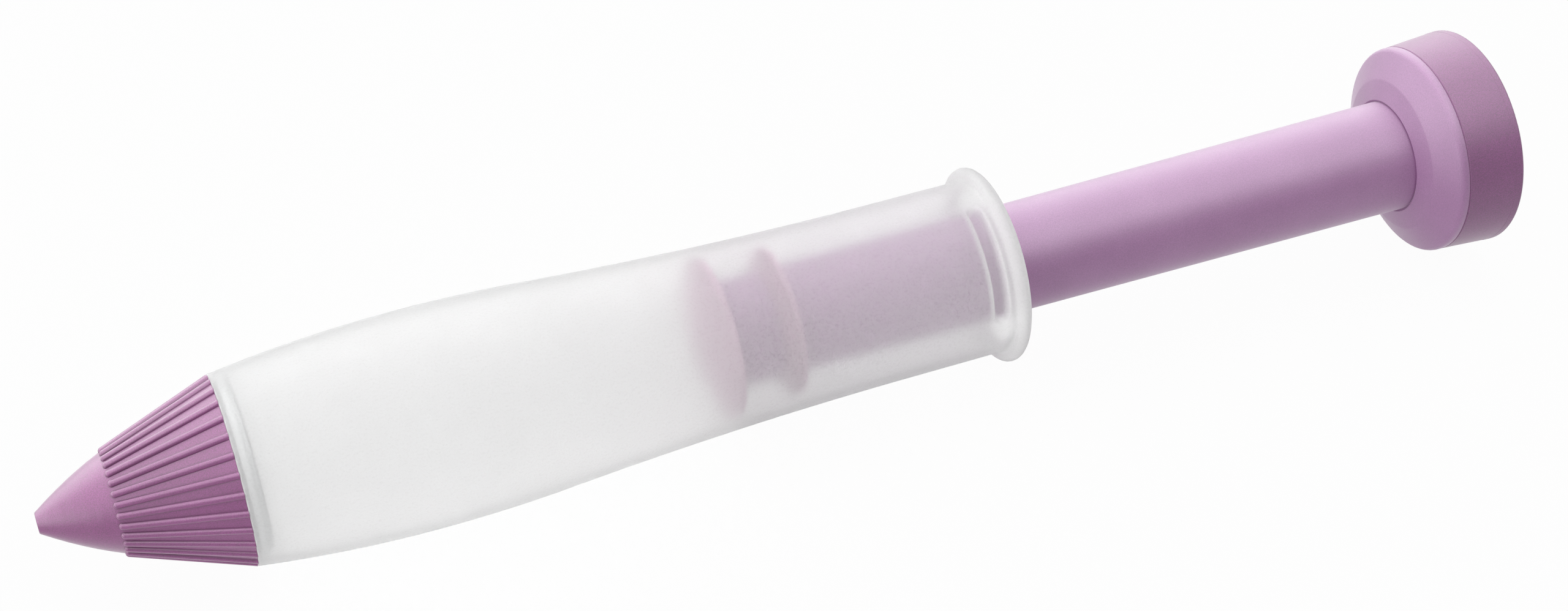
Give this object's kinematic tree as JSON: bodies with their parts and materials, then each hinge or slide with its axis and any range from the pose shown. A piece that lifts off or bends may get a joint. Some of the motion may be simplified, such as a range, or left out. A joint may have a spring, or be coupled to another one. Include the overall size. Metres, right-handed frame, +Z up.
{
  "type": "icing pen",
  "caption": "Hand-held icing pen: frosted soft barrel with a swollen front, ribbed conical screw nozzle, and a sliding plunger with a flanged thumb end.",
  "frame": {"origin": "on the table under the middle of the pen's length, with the pen lying on its side and the plunger pulled back as pictured", "axes": "+X along the pen from the nozzle to the thumb end, +Z up from the table, +Y to the left when looking along +X"},
  "size_m": [0.2278, 0.0344, 0.0344],
  "materials": {
    "frosted_silicone": "frosted, translucent, fine grain",
    "clear_plastic": "colourless, satin",
    "seal_silicone": "matte",
    "nozzle_plastic": "matte, fine grain",
    "plunger_plastic": "satin",
    "piston_silicone": "matte",
    "cap_plastic": "matte, fine grain"
  },
  "bodies": {
    "barrel": {"squeeze_barrel": "frosted_silicone", "neck_insert": "clear_plastic"},
    "plunger": {"plunger_rod": "plunger_plastic", "front_seal": "piston_silicone", "rear_ring": "piston_silicone", "end_cap": "cap_plastic"},
    "washer": {"nozzle_washer": "seal_silicone"},
    "nozzle": {"nozzle": "nozzle_plastic"}
  },
  "joints": [
    {"name": "plunger_slide", "type": "slide", "parent": "barrel", "child": "plunger", "axis": [-1, 0, 0], "range_m": [-0.028, 0.067]},
    {"name": "nozzle_lift", "type": "slide", "parent": "barrel", "child": "washer", "axis": [-1, 0, 0], "range_m": [0, 0.0046]},
    {"name": "nozzle_twist", "type": "hinge", "parent": "washer", "child": "nozzle", "pos_m": [-0.09375, 0, 0.0172], "axis": [-1, 0, 0], "range_deg": [0, 540]}
  ],
  "couplings": [
    {"joint": "nozzle_lift", "follows": "nozzle_twist", "m_per_rad": 0.00047746}
  ]
}
